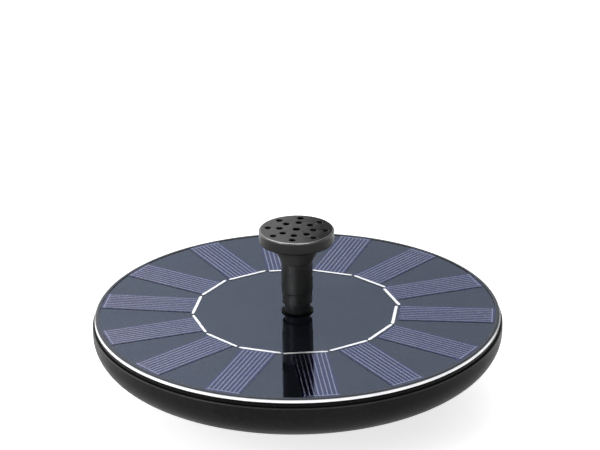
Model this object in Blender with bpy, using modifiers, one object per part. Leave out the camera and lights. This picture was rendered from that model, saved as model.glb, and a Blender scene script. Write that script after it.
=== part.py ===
"""Solar fountain pump: a round solar panel on a floating dish, with a submersible
centrifugal pump in a recess under the dish and a push-on multi-jet nozzle above it.

Frame: +Z up, origin at the centre of the flat base that the object rests on.
The pump's rotor turns about an axis parallel to Y; the outlet rises along Z.
Dimensions are in millimetres; the helpers turn them into metres.
"""

import math

import bmesh
import bpy
from mathutils import Matrix, Vector

MM = 0.001

# Facets round a turned piece
LARGE, MEDIUM, SMALL = 48, 32, 16
JET_FACETS = 8
SHARP_ANGLE_DEG = 35.0

# Dimensions shared between sections
TOP_Z = 35.0            # top face of the panel
SHEET_R = 79.1
AXIS_Z = 16.0           # height of the rotor axis
FRONT_Y = -5.0          # front of the pump case
CASE_R = 13.0
SCREW_XS = (-16.5, 16.5)
SCREW_HOLE_R = 1.3
CABLE_Y = 25.0          # where the cable rises through the dish
CABLE_Z = AXIS_Z + 5.0  # where it leaves the pump
BORE_R = 1.33           # bore of the impeller

# ---------------------------------------------------------------- scene
for old in list(bpy.data.objects):
    bpy.data.objects.remove(old)

parts = bpy.data.collections.new("solar_fountain_pump")
cutters = bpy.data.collections.new("cutters")
for group in (parts, cutters):
    bpy.context.scene.collection.children.link(group)


# ---------------------------------------------------------------- materials
def material(name, colour, roughness, metallic=0.0):
    finish = bpy.data.materials.get(name) or bpy.data.materials.new(name)
    finish.use_nodes = True
    shader = finish.node_tree.nodes["Principled BSDF"]
    shader.inputs["Base Color"].default_value = (*colour, 1.0)
    shader.inputs["Roughness"].default_value = roughness
    shader.inputs["Metallic"].default_value = metallic
    return finish


PLASTIC = material("black_plastic", colour=(0.022, 0.022, 0.023), roughness=0.45)
GLOSS = material("gloss_black_plastic", colour=(0.008, 0.008, 0.009), roughness=0.2)
RUBBER = material("black_rubber", colour=(0.02, 0.02, 0.02), roughness=0.8)
CLEAR = material("clear_panel_sheet", colour=(0.75, 0.8, 0.85), roughness=0.05)
SILICON = material("silicon_cell", colour=(0.02, 0.02, 0.07), roughness=0.25)
TIN = material("tinned_ribbon", colour=(0.8, 0.8, 0.8), roughness=0.35, metallic=1.0)
BOARD = material("black_board", colour=(0.006, 0.007, 0.01), roughness=0.5)
FOAM = material("white_foam", colour=(0.7, 0.7, 0.68), roughness=0.95)
SPONGE = material("filter_sponge", colour=(0.03, 0.03, 0.03), roughness=1.0)
STEEL = material("steel", colour=(0.55, 0.55, 0.56), roughness=0.35, metallic=1.0)
COPPER = material("enamelled_copper", colour=(0.72, 0.27, 0.1), roughness=0.35, metallic=1.0)
FERRITE = material("ferrite", colour=(0.05, 0.05, 0.055), roughness=0.5)
CERAMIC = material("white_ceramic", colour=(0.8, 0.79, 0.76), roughness=0.25)
CIRCUIT = material("green_circuit_board", colour=(0.02, 0.16, 0.06), roughness=0.4)
RESIN = material("potting_resin", colour=(0.015, 0.015, 0.018), roughness=0.3)
ACETAL = material("white_acetal", colour=(0.75, 0.75, 0.72), roughness=0.4)


# ---------------------------------------------------------------- shape helpers
def add(name, data, finish=None, location=(0, 0, 0), rotation=(0, 0, 0)):
    """Add an object: a part if it has a finish, otherwise a hidden boolean tool."""
    obj = bpy.data.objects.new(name, data)
    obj.location = Vector(location) * MM
    obj.rotation_euler = rotation
    if finish:
        parts.objects.link(obj)
        data.materials.append(finish)
    else:
        cutters.objects.link(obj)
        obj.hide_render = True
        obj.display_type = "WIRE"
    return obj


def lathe(name, profile, facets, finish=None, **place):
    """A turned piece: (radius, height) points, running down its outer side.

    The profile is closed on itself unless it starts on the axis.
    """
    mesh = bpy.data.meshes.new(name)
    count = len(profile)
    edges = [(i, i + 1) for i in range(count - 1)]
    if profile[0][0] > 0.0:
        edges.append((count - 1, 0))
    mesh.from_pydata([(radius * MM, 0.0, z * MM) for radius, z in profile], edges, [])
    obj = add(name, mesh, finish, **place)
    screw = obj.modifiers.new("turn", "SCREW")
    screw.axis = "Z"
    screw.angle = 2 * math.pi
    screw.steps = screw.render_steps = facets
    screw.use_merge_vertices = True
    screw.merge_threshold = 0.00001
    return obj


def pump_lathe(name, profile, facets, finish=None, y=0.0, z=AXIS_Z):
    """A piece turned about a line along Y; profile heights count along Y from y."""
    return lathe(
        name, profile, facets, finish, location=(0, y, z), rotation=(-math.pi / 2, 0.0, 0.0)
    )


def band(inner, outer, low, high):
    """Profile with a rectangular section; a disc or rod if inner is zero."""
    return [(inner, high), (outer, high), (outer, low), (inner, low)]


def o_ring_profile(ring_r, cord_r, sides=6):
    angles = [(1 - 2 * i) * math.pi / sides for i in range(sides)]
    return [(ring_r + cord_r * math.cos(angle), cord_r * math.sin(angle)) for angle in angles]


def mesh_object(name, shape, finish=None):
    mesh = bpy.data.meshes.new(name)
    shape.to_mesh(mesh)
    shape.free()
    return add(name, mesh, finish)


def boxes(name, placements, finish=None):
    """Boxes given as (matrix, size), made as one mesh."""
    shape = bmesh.new()
    for matrix, size in placements:
        moved = matrix.copy()
        moved.translation = moved.translation * MM
        scale = Matrix.Diagonal((*(length * MM for length in size), 1.0))
        bmesh.ops.create_cube(shape, size=1.0, matrix=moved @ scale)
    return mesh_object(name, shape, finish)


def rods(name, placements, facets=SMALL):
    """Upright cylinders given as (x, y, low, high, radius), made as one tool mesh."""
    shape = bmesh.new()
    for x, y, low, high, radius in placements:
        bmesh.ops.create_cone(
            shape, cap_ends=True, segments=facets, radius1=radius * MM, radius2=radius * MM,
            depth=(high - low) * MM,
            matrix=Matrix.Translation(Vector((x, y, (low + high) / 2)) * MM),
        )
    return mesh_object(name, shape)


def screw_rods(name, low, high, radius):
    """A rod on the axis of each of the two pump screws."""
    return rods(name, [(x, 0.0, low, high, radius) for x in SCREW_XS])


def combine(obj, operation, tools):
    for tool in tools:
        change = obj.modifiers.new(f"{operation.lower()}_{tool.name}", "BOOLEAN")
        change.operation = operation
        change.object = tool
        change.solver = "EXACT"


def join(obj, *tools):
    combine(obj, "UNION", tools)


def cut(obj, *tools):
    combine(obj, "DIFFERENCE", tools)


def move(x, y, z):
    return Matrix.Translation((x, y, z))


def turn(degrees, axis):
    return Matrix.Rotation(math.radians(degrees), 4, axis)


def on_ring(radius, degrees, z):
    """Matrix at a radius and azimuth, with its X axis pointing outwards."""
    return turn(degrees, "Z") @ move(radius, 0.0, z)


def about_rotor(degrees):
    """Matrix on the rotor axis: X points outwards, Y along the axis."""
    return move(0, 0, AXIS_Z) @ turn(degrees, "Y")


# ---------------------------------------------------------------- solar panel
SHEET_T = 0.55
SHEET_EDGE_R = 1.2      # radius of the sheet's rounded edge
SHEET_RIM_T, SHEET_RIM_IN_R = 1.5, 77.8
PANEL_HOLE_R = 6.1

# Clear front sheet with a thicker rim
edge_angles = [math.radians(degrees) for degrees in (90, 60, 30, 0)]
lathe(
    "panel_front_sheet",
    [(PANEL_HOLE_R, TOP_Z)]
    + [
        (SHEET_R - SHEET_EDGE_R * (1 - math.cos(angle)),
         TOP_Z - SHEET_EDGE_R * (1 - math.sin(angle)))
        for angle in edge_angles
    ]
    + [
        (SHEET_R, TOP_Z - SHEET_RIM_T), (SHEET_RIM_IN_R, TOP_Z - SHEET_RIM_T),
        (SHEET_RIM_IN_R, TOP_Z - SHEET_T), (PANEL_HOLE_R, TOP_Z - SHEET_T),
    ],
    LARGE, CLEAR,
)
lathe(
    "panel_backing_board", band(inner=PANEL_HOLE_R, outer=77.4, low=32.15, high=33.95),
    LARGE, BOARD,
)

# Cells and ribbons
CELL_WIDTH, CELL_T, CELL_LOW = 13.9, 0.2, 34.0
CELL_IN, CELL_OUT = 40.4, 76.8
CELL_PIVOT_R = 58.0     # radius about which a cell is turned out of true
SKEW_MEAN_DEG, SKEW_SWING_DEG, SKEW_PEAK_DEG = 1.4, 1.1, 45.0
FIRST_RIBBON_DEG = -8.6
RIBBON_MIDDLE_R, RIBBON_LOW = 39.0, 34.25
RIBBON_SIZE = (1.2, 16.8, 0.15)
# How far each cell and ribbon lies off its place, in degrees and mm:
# cell turn, cell shift sideways, ribbon turn, ribbon shift outwards
LAID_BY_HAND = (
    (1.0, 1.2, 1.0, -0.9), (-0.5, 1.8, 1.5, 0.0), (3.0, 1.3, 2.4, 0.6),
    (-0.2, 0.3, 1.5, -0.2), (0.0, 0.8, 0.5, 0.3), (-3.0, -1.0, 0.5, 1.0),
    (0.5, 0.2, 2.2, 1.1), (-0.4, -0.6, -1.0, 0.9), (1.0, 0.0, 1.6, 0.7),
    (-1.2, -0.5, 1.5, 0.5), (0.0, -0.4, 2.2, 0.1), (1.0, 1.4, 0.5, 0.0),
    (0.6, 0.9, 1.0, -0.5), (-1.4, 0.7, 0.5, -0.8),
)


def solar_cell(number, degrees, cell_turn, shift):
    # Cells are skewed anticlockwise of their ribbons, most at SKEW_PEAK_DEG.
    skew = SKEW_MEAN_DEG + SKEW_SWING_DEG * math.cos(math.radians(degrees - SKEW_PEAK_DEG))
    place = (
        on_ring(CELL_PIVOT_R, degrees + skew, CELL_LOW + CELL_T / 2)
        @ move(0.0, shift, 0.0)
        @ turn(cell_turn, "Z")
        @ move((CELL_IN + CELL_OUT) / 2 - CELL_PIVOT_R, 0.0, 0.0)
    )
    size = (CELL_OUT - CELL_IN, CELL_WIDTH, CELL_T)
    boxes(f"solar_cell_{number:02d}", [(place, size)], SILICON)


def cell_ribbon(number, degrees, ribbon_turn, shift):
    place = on_ring(RIBBON_MIDDLE_R + shift, degrees, RIBBON_LOW + RIBBON_SIZE[2] / 2)
    boxes(f"cell_ribbon_{number:02d}", [(place @ turn(ribbon_turn, "Z"), RIBBON_SIZE)], TIN)


for index, (cell_turn, cell_shift, ribbon_turn, ribbon_shift) in enumerate(LAID_BY_HAND):
    azimuth = FIRST_RIBBON_DEG + index * 360.0 / len(LAID_BY_HAND)
    solar_cell(index + 1, azimuth, cell_turn, cell_shift)
    cell_ribbon(index + 1, azimuth, ribbon_turn, ribbon_shift)

lathe("panel_gasket", band(inner=74.4, outer=76.8, low=30.95, high=32.1), LARGE, RUBBER)

# Ring round the panel's edge, stepping inwards under it
lathe(
    "bezel_ring",
    [
        (77.6, 33.4), (SHEET_R, 33.4), (SHEET_R, 31.95), (78.2, 31.95), (78.2, 29.7),
        (74.0, 29.7), (74.0, 30.9), (77.6, 30.9),
    ],
    LARGE, GLOSS,
)

# ---------------------------------------------------------------- floating dish
SHELL_R, LIP_Z, DISH_LOW_Z = 80.0, 31.75, 14.2
LIP_T, LIP_CHAMFER = 1.5, 0.35
WALL = 1.6
BOWL_CENTRE_R, BOWL_Z, BOWL_DEPTH = 52.0, 28.85, 15.8
BOWL_POWER = 0.93       # below 1 is fuller than an ellipse
RECESS_R = 28.6         # pump recess in the underside
ROOF_LOW, ROOF_HIGH, ROOF_HOLE_R = 29.4, 30.9, 5.6


def bowl_curve(inset, low_z, steps):
    """Points down the bowl from its vertical wall to the flat bottom, moved in by inset."""
    width = SHELL_R - BOWL_CENTRE_R - inset
    depth = BOWL_DEPTH - inset
    sweep = math.asin(((BOWL_Z - low_z) / depth) ** (1 / BOWL_POWER))
    angles = [sweep * i / steps for i in range(steps + 1)]
    return [
        (BOWL_CENTRE_R + width * math.cos(angle) ** BOWL_POWER,
         BOWL_Z - depth * math.sin(angle) ** BOWL_POWER)
        for angle in angles
    ]


shell = lathe(
    "lower_shell",
    [(SHELL_R - LIP_T, LIP_Z), (SHELL_R - LIP_CHAMFER, LIP_Z), (SHELL_R, LIP_Z - LIP_CHAMFER)]
    + bowl_curve(inset=0.0, low_z=DISH_LOW_Z, steps=8)
    + [
        (RECESS_R, DISH_LOW_Z), (RECESS_R, ROOF_LOW), (ROOF_HOLE_R, ROOF_LOW),
        (ROOF_HOLE_R, ROOF_HIGH), (RECESS_R + WALL, ROOF_HIGH),
        (RECESS_R + WALL, DISH_LOW_Z + WALL),
    ]
    + bowl_curve(inset=WALL, low_z=DISH_LOW_Z + WALL, steps=4)[::-1],
    LARGE, PLASTIC,
)
join(shell, screw_rods("shell_screw_bosses", low=26.7, high=ROOF_LOW + 0.6, radius=2.8))
cut(
    shell,
    screw_rods("shell_screw_holes", low=26.0, high=30.3, radius=SCREW_HOLE_R),
    rods("shell_cable_hole", [(0.0, CABLE_Y, 28.0, 32.0, 2.6)]),
)

# Foam ring inside the dish, narrowing downwards with the bowl
lathe(
    "float_foam",
    [(33.0, 28.0), (72.5, 28.0), (70.5, 23.5), (64.0, 19.4), (57.0, 17.2), (33.0, 17.2)],
    LARGE, FOAM,
)

# Flanged sleeve round the outlet pipe
lathe(
    "outlet_collar",
    [
        (5.15, 35.4), (6.7, 35.4), (6.85, 35.3), (6.85, 35.15), (5.85, 35.15),
        (5.85, 31.1), (5.15, 31.1),
    ],
    MEDIUM, RUBBER,
)

# ---------------------------------------------------------------- pump body
CASE_IN_R, CASE_END_Y = 12.0, 20.4
CHAMBER_R, CHAMBER_BACK_Y, MOTOR_Y = 11.5, 3.2, 4.6
WELL_R, WELL_OUT_R, WELL_END_Y, WELL_CLOSED_Y = 6.7, 7.5, 15.6, 18.0
POCKET_R, POCKET_END_Y = 2.45, 17.2        # rear bush pocket
SEAT_R, SEAT_Y = 12.35, FRONT_Y + 1.1      # wider step at the open front
SPIGOT_R, SPIGOT_BORE_R, SPIGOT_TOP = 5.0, 3.5, 46.0
SPIGOT_BORE_Y = -0.6
GROOVE_LOW, GROOVE_HIGH = 42.4, 43.6
EAR_LOW, EAR_HIGH = 24.5, 26.5
EAR_MIDDLE_X, EAR_LENGTH, EAR_WIDTH = 12.6, 13.6, 6.4

housing = pump_lathe(
    "pump_housing",
    [
        (0.0, WELL_CLOSED_Y), (WELL_OUT_R, WELL_CLOSED_Y), (WELL_OUT_R, MOTOR_Y),
        (CASE_IN_R, MOTOR_Y), (CASE_IN_R, CASE_END_Y), (CASE_R, CASE_END_Y),
        (CASE_R, FRONT_Y), (0.0, FRONT_Y),
    ],
    MEDIUM, PLASTIC,
)
pipe = rods("outlet_pipe_blank", [(0.0, 0.0, AXIS_Z + 9.0, SPIGOT_TOP, SPIGOT_R)], MEDIUM)
ears = boxes(
    "mounting_ear_blank",
    [(move(side * EAR_MIDDLE_X, 0.0, (EAR_LOW + EAR_HIGH) / 2),
      (EAR_LENGTH, EAR_WIDTH, EAR_HIGH - EAR_LOW)) for side in (-1, 1)],
)
# Everything the water fills: rear bush pocket, rotor well, impeller chamber and front step
wet_space = pump_lathe(
    "wet_space",
    [
        (0.0, POCKET_END_Y), (POCKET_R, POCKET_END_Y), (POCKET_R, WELL_END_Y),
        (WELL_R, WELL_END_Y), (WELL_R, CHAMBER_BACK_Y), (CHAMBER_R, CHAMBER_BACK_Y),
        (CHAMBER_R, SEAT_Y), (SEAT_R, SEAT_Y), (SEAT_R, FRONT_Y - 1.0), (0.0, FRONT_Y - 1.0),
    ],
    MEDIUM,
)
bore = rods(
    "outlet_bore", [(0.0, SPIGOT_BORE_Y, AXIS_Z + 5.0, SPIGOT_TOP + 1.0, SPIGOT_BORE_R)],
)
ear_holes = screw_rods("mounting_ear_holes", EAR_LOW - 1.0, EAR_HIGH + 1.0, SCREW_HOLE_R)
groove = lathe(
    "spigot_ring_groove", band(inner=4.35, outer=6.0, low=GROOVE_LOW, high=GROOVE_HIGH), MEDIUM,
)
join(housing, pipe, ears)
cut(housing, wet_space, bore, ear_holes, groove)

lathe(
    "spigot_o_ring", o_ring_profile(ring_r=4.72, cord_r=0.33), MEDIUM, RUBBER,
    location=(0, 0, (GROOVE_LOW + GROOVE_HIGH) / 2),
)
pump_lathe(
    "cover_o_ring", o_ring_profile(ring_r=11.86, cord_r=0.36), MEDIUM, RUBBER,
    y=(FRONT_Y + SEAT_Y) / 2,
)

# Intake cover with its three-armed bush carrier
INTAKE_R, INTAKE_OUT_R, INTAKE_END_Y = 5.0, 6.2, -10.0
COVER_BACK_Y, COVER_FRONT_Y = -5.2, -7.0
ARM_SIZE = (2.6, 1.4, 1.3)
cover = pump_lathe(
    "volute_cover",
    [
        (INTAKE_R, COVER_BACK_Y), (CASE_R, COVER_BACK_Y), (CASE_R, COVER_FRONT_Y + 0.4),
        (CASE_R - 0.4, COVER_FRONT_Y), (INTAKE_OUT_R, COVER_FRONT_Y),
        (INTAKE_OUT_R, INTAKE_END_Y), (INTAKE_R, INTAKE_END_Y),
    ],
    MEDIUM, PLASTIC,
)
carrier = pump_lathe(
    "bush_carrier_blank", band(inner=2.25, outer=3.1, low=-7.8, high=-6.0), SMALL,
)
arms = boxes(
    "bush_carrier_arms",
    [(about_rotor(90 + 120 * i) @ move(4.1, -6.9, 0.0), ARM_SIZE) for i in range(3)],
)
join(cover, carrier, arms)

# Stator: core with four inward poles and one winding on each.
# Box sizes are radial, along the axis, and across.
STATOR_Y = 10.0
CORE_HALF_LENGTH = 3.6
POLE_R, POLE_SIZE = 9.25, (3.1, 7.1, 2.5)
COIL_R, COIL_SIZE, COIL_WINDOW_SIZE = 9.0, (1.7, 9.6, 5.4), (4.0, 7.5, 2.9)
POLE_DEGREES = (45.0, 135.0, 225.0, 315.0)
core = pump_lathe(
    "stator_core",
    band(
        inner=10.3, outer=11.8,
        low=STATOR_Y - CORE_HALF_LENGTH, high=STATOR_Y + CORE_HALF_LENGTH,
    ),
    MEDIUM, STEEL,
)
poles = boxes(
    "stator_poles",
    [(about_rotor(degrees) @ move(POLE_R, STATOR_Y, 0.0), POLE_SIZE)
     for degrees in POLE_DEGREES],
)
join(core, poles)
for number, degrees in enumerate(POLE_DEGREES, start=1):
    coil_place = about_rotor(degrees) @ move(COIL_R, STATOR_Y, 0.0)
    coil = boxes(f"stator_coil_{number}", [(coil_place, COIL_SIZE)], COPPER)
    cut(coil, boxes(f"coil_window_{number}", [(coil_place, COIL_WINDOW_SIZE)]))

# Circuit board, and the plug that closes the rear of the case
pump_lathe("driver_board", band(inner=0.0, outer=11.6, low=18.3, high=19.2), SMALL, CIRCUIT)
plug = pump_lathe(
    "potting_plug", band(inner=0.0, outer=11.7, low=19.4, high=20.3), MEDIUM, RESIN,
)
cut(plug, pump_lathe(
    "plug_cable_hole", band(inner=0.0, outer=1.7, low=18.0, high=22.0), SMALL, z=CABLE_Z,
))

# ---------------------------------------------------------------- rotor
HUB_R, HUB_FRONT_Y, SLEEVE_END_Y = 2.6, -4.0, 15.0
COLLAR_R, COLLAR_END_Y = 4.5, 6.0
DISC_R, DISC_FRONT_Y, DISC_BACK_Y = 9.6, 1.6, 2.6
VANES, FIRST_VANE_DEG, VANE_SWEEP_DEG = 6, 30, 16
VANE_PLACE, VANE_SIZE = (5.75, -1.15, 1.5), (7.0, 6.0, 1.0)
BUSH_BORE_R = 1.32
impeller = pump_lathe(
    "impeller",
    [
        (BORE_R, SLEEVE_END_Y), (HUB_R, SLEEVE_END_Y), (HUB_R, COLLAR_END_Y),
        (COLLAR_R, COLLAR_END_Y), (COLLAR_R, DISC_BACK_Y), (DISC_R, DISC_BACK_Y),
        (DISC_R, DISC_FRONT_Y), (3.0, DISC_FRONT_Y), (HUB_R, HUB_FRONT_Y),
        (BORE_R, HUB_FRONT_Y),
    ],
    MEDIUM, ACETAL,
)
vanes = boxes(
    "impeller_vane_blank",
    [(about_rotor(FIRST_VANE_DEG + 360.0 / VANES * i) @ move(*VANE_PLACE)
      @ turn(VANE_SWEEP_DEG, "Y"), VANE_SIZE) for i in range(VANES)],
)
join(impeller, vanes)
pump_lathe("rotor_magnet", band(inner=2.75, outer=6.1, low=6.2, high=14.6), MEDIUM, FERRITE)
pump_lathe("rotor_shaft", band(inner=0.0, outer=1.25, low=-7.9, high=17.0), SMALL, CERAMIC)
pump_lathe(
    "shaft_bush_rear", band(inner=BUSH_BORE_R, outer=2.38, low=15.75, high=17.1), SMALL, RUBBER,
)
pump_lathe(
    "shaft_bush_front", band(inner=BUSH_BORE_R, outer=2.17, low=-7.7, high=-5.8), SMALL, RUBBER,
)

# ---------------------------------------------------------------- fasteners and cable
SCREW_R, SCREW_HEAD_R = 1.15, 2.4
SCREW_TIP_Z, HEAD_TOP_Z, HEAD_LOW_Z = 30.1, 24.35, 22.9    # the head is at the bottom
DRIVER_SLOT_SIZE = (0.7, 6.0, 1.2)
for x, side in zip(SCREW_XS, ("left", "right")):
    pump_screw = lathe(
        f"pump_screw_{side}",
        [
            (0.0, SCREW_TIP_Z), (SCREW_R, SCREW_TIP_Z), (SCREW_R, HEAD_TOP_Z),
            (SCREW_HEAD_R, HEAD_TOP_Z), (SCREW_HEAD_R, HEAD_LOW_Z + 0.5),
            (SCREW_HEAD_R - 0.4, HEAD_LOW_Z), (0.0, HEAD_LOW_Z),
        ],
        SMALL, STEEL, location=(x, 0.0, 0.0),
    )
    cut(pump_screw, boxes(f"screw_slot_{side}", [(move(x, 0.0, HEAD_LOW_Z), DRIVER_SLOT_SIZE)]))

# Cable: back from the plug, then bent upwards through the dish
CABLE_R, CABLE_START_Y, CABLE_TOP_Z = 1.5, 19.5, 31.35
BEND_R, BEND_STEPS = 2.6, 6
bend_angles = [math.pi / 2 * i / BEND_STEPS for i in range(BEND_STEPS + 1)]
cable_path = [
    (0.0, CABLE_START_Y, CABLE_Z),
    *((0.0, CABLE_Y - BEND_R + BEND_R * math.sin(angle),
       CABLE_Z + BEND_R - BEND_R * math.cos(angle)) for angle in bend_angles),
    (0.0, CABLE_Y, CABLE_TOP_Z),
]
cable = bpy.data.curves.new("power_cable", "CURVE")
cable.dimensions = "3D"
cable.bevel_depth = CABLE_R * MM
cable.bevel_resolution = 2
cable.use_fill_caps = True
spline = cable.splines.new("POLY")
spline.points.add(len(cable_path) - 1)
for point, place in zip(spline.points, cable_path):
    point.co = (*(Vector(place) * MM), 1.0)
add("power_cable", cable, RUBBER)

# Sleeve in the dish's cable hole, with a flange below
lathe(
    "cable_grommet",
    [(1.75, 31.2), (2.4, 31.2), (2.4, 29.15), (3.3, 29.15), (3.3, 28.4), (1.75, 28.4)],
    SMALL, RUBBER, location=(0.0, CABLE_Y, 0.0),
)

# ---------------------------------------------------------------- filter
BASKET_R, BASKET_IN_R, BASKET_TOP, BASKET_FLOOR_T = 28.3, 27.0, 18.0, 1.6
BODY_R, BODY_CHAMFER = 28.6, 1.1           # slotted wall below the flange
FLANGE_R, FLANGE_LOW, FLANGE_HIGH = 31.0, 12.9, 13.9
WALL_SLOTS, FLOOR_SLOTS = 24, 10
WALL_SLOT_SIZE, FLOOR_SLOT_SIZE = (6.0, 2.4, 8.0), (12.0, 2.0, 6.0)
basket = lathe(
    "filter_basket",
    [
        (0.0, BASKET_FLOOR_T), (BASKET_IN_R, BASKET_FLOOR_T), (BASKET_IN_R, BASKET_TOP),
        (BASKET_R, BASKET_TOP), (BASKET_R, FLANGE_HIGH), (FLANGE_R, FLANGE_HIGH),
        (FLANGE_R, FLANGE_LOW), (BODY_R, FLANGE_LOW - 0.6), (BODY_R, BODY_CHAMFER),
        (BODY_R - BODY_CHAMFER, 0.0), (0.0, 0.0),
    ],
    LARGE, PLASTIC,
)
wall_slots = boxes(
    "basket_wall_slots",
    [(on_ring(28.0, 360.0 / WALL_SLOTS * (i + 0.5), z=6.9), WALL_SLOT_SIZE)
     for i in range(WALL_SLOTS)],
)
floor_slots = boxes(
    "basket_floor_slots",
    [(on_ring(16.0, 360.0 / FLOOR_SLOTS * i + 7.0, z=BASKET_FLOOR_T / 2), FLOOR_SLOT_SIZE)
     for i in range(FLOOR_SLOTS)],
)
cut(basket, wall_slots, floor_slots)
lathe("filter_sponge", band(inner=24.2, outer=26.7, low=1.9, high=13.4), MEDIUM, SPONGE)

# ---------------------------------------------------------------- nozzle
RISER_LOW, RISER_SEAM, RISER_TOP = 38.6, 56.0, 60.5
RISER_R, RISER_FOOT_R, RISER_NECK_R, RISER_BORE_R = 6.1, 5.85, 5.0, 3.6
SOCKET_R, SOCKET_TOP = 5.2, 46.6           # fits over the pump's spigot
CAP_R, CAP_IN_R, CAP_LOW, CAP_TOP, CAP_T = 14.6, 13.2, 64.2, 69.1, 1.5
JET_R, CENTRE_JET_R = 1.15, 1.35
JET_RINGS, JETS_PER_RING, FIRST_JET_DEG = (6.6, 11.1), 8, 36.5
lathe(
    "nozzle_riser",
    [
        (RISER_BORE_R, RISER_TOP), (RISER_NECK_R, RISER_TOP), (RISER_NECK_R, RISER_SEAM),
        (RISER_R, RISER_SEAM), (RISER_R, 43.7), (RISER_FOOT_R, 43.4), (RISER_FOOT_R, 39.5),
        (5.45, RISER_LOW), (SOCKET_R, RISER_LOW), (SOCKET_R, SOCKET_TOP),
        (RISER_BORE_R, SOCKET_TOP),
    ],
    MEDIUM, PLASTIC,
)
funnel_low = RISER_SEAM + 0.15
lathe(
    "nozzle_funnel",
    [
        (11.9, 66.5), (13.0, 66.5), (13.0, 64.0), (11.6, 63.2), (9.6, 62.0), (8.2, 60.2),
        (7.2, 58.3), (6.45, 56.8), (RISER_R + 0.05, funnel_low), (5.15, funnel_low),
        (5.15, 61.0), (7.0, 62.6), (10.0, 64.4), (11.9, 65.2),
    ],
    MEDIUM, PLASTIC,
)
cap = lathe(
    "nozzle_cap",
    [
        (0.0, CAP_TOP), (CAP_R - 0.5, CAP_TOP), (CAP_R, CAP_TOP - 0.5), (CAP_R, CAP_LOW + 0.35),
        (CAP_R - 0.3, CAP_LOW), (CAP_IN_R, CAP_LOW), (CAP_IN_R, CAP_TOP - CAP_T),
        (0.0, CAP_TOP - CAP_T),
    ],
    MEDIUM, PLASTIC,
)
jets = [(0.0, 0.0, CENTRE_JET_R)]
for ring_r in JET_RINGS:
    for i in range(JETS_PER_RING):
        angle = math.radians(FIRST_JET_DEG + 360.0 / JETS_PER_RING * i)
        jets.append((ring_r * math.cos(angle), ring_r * math.sin(angle), JET_R))
cut(cap, rods(
    "jet_holes", [(x, y, CAP_TOP - 3.0, CAP_TOP + 1.0, radius) for x, y, radius in jets],
    JET_FACETS,
))

# ---------------------------------------------------------------- shading
for part in parts.objects:
    if part.modifiers and part.modifiers[0].type == "SCREW":
        part.modifiers[0].use_smooth_shade = True
    elif part.type == "MESH":
        part.data.shade_smooth()
        part.data.set_sharp_from_angle(angle=math.radians(SHARP_ANGLE_DEG))
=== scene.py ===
"""Looks for the floating solar fountain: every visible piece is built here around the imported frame,
in the frame's own coordinates, and given a procedural material.

The fountain stands upright on +Z about the origin, its solar panel facing up. The pump lies
inside the float with its axis along Y, its driver board towards +Y. The camera looks from -Y.
Geometry is written in mm and scaled to metres; materials, lights and camera are in metres
unless a name says mm."""

import math
import random

import bmesh
import bpy
from mathutils import Matrix, Vector, noise


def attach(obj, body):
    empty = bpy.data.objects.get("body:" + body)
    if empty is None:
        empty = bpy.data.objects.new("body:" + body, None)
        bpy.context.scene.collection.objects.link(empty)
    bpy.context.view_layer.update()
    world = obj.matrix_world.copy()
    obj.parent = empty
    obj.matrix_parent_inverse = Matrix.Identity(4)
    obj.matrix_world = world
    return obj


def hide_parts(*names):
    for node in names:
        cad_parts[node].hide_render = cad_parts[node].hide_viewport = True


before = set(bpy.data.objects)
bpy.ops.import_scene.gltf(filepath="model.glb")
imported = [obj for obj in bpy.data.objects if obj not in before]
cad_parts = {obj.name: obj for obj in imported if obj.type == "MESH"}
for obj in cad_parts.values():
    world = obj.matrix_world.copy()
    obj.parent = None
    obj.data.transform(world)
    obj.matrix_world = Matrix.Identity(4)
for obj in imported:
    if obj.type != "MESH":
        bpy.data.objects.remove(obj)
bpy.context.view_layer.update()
MM = 0.001

random.seed(4)

# ---------------------------------------------------------------- shared measures, mm
TOP_Z = 35.0            # top of the panel
PANEL_R = 79.1
BORE_R = 6.1            # hole in the middle of the panel
SHELL_R = 80.0
DISH_LOW_Z = 14.2       # underside of the shell
WALL = 1.6
ROOF_LOW = 29.4         # roof over the pump's recess
SCREW_X = 16.5          # pump screws, either side of the middle
SCREW_HOLE_R = 1.3
AXIS_Z = 16.0           # pump axis
PUMP_R = 13.0
CABLE_Y = 25.0          # where the cable runs upright
CABLE_RISE = 5.0        # cable outlet above the pump axis
HEAD_TOP = 69.1         # top of the nozzle cap

UNMOVED = Matrix.Identity(4)
PUMP = Matrix.Translation((0, 0, AXIS_Z)) @ Matrix.Rotation(-math.pi / 2, 4, "X")


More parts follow.
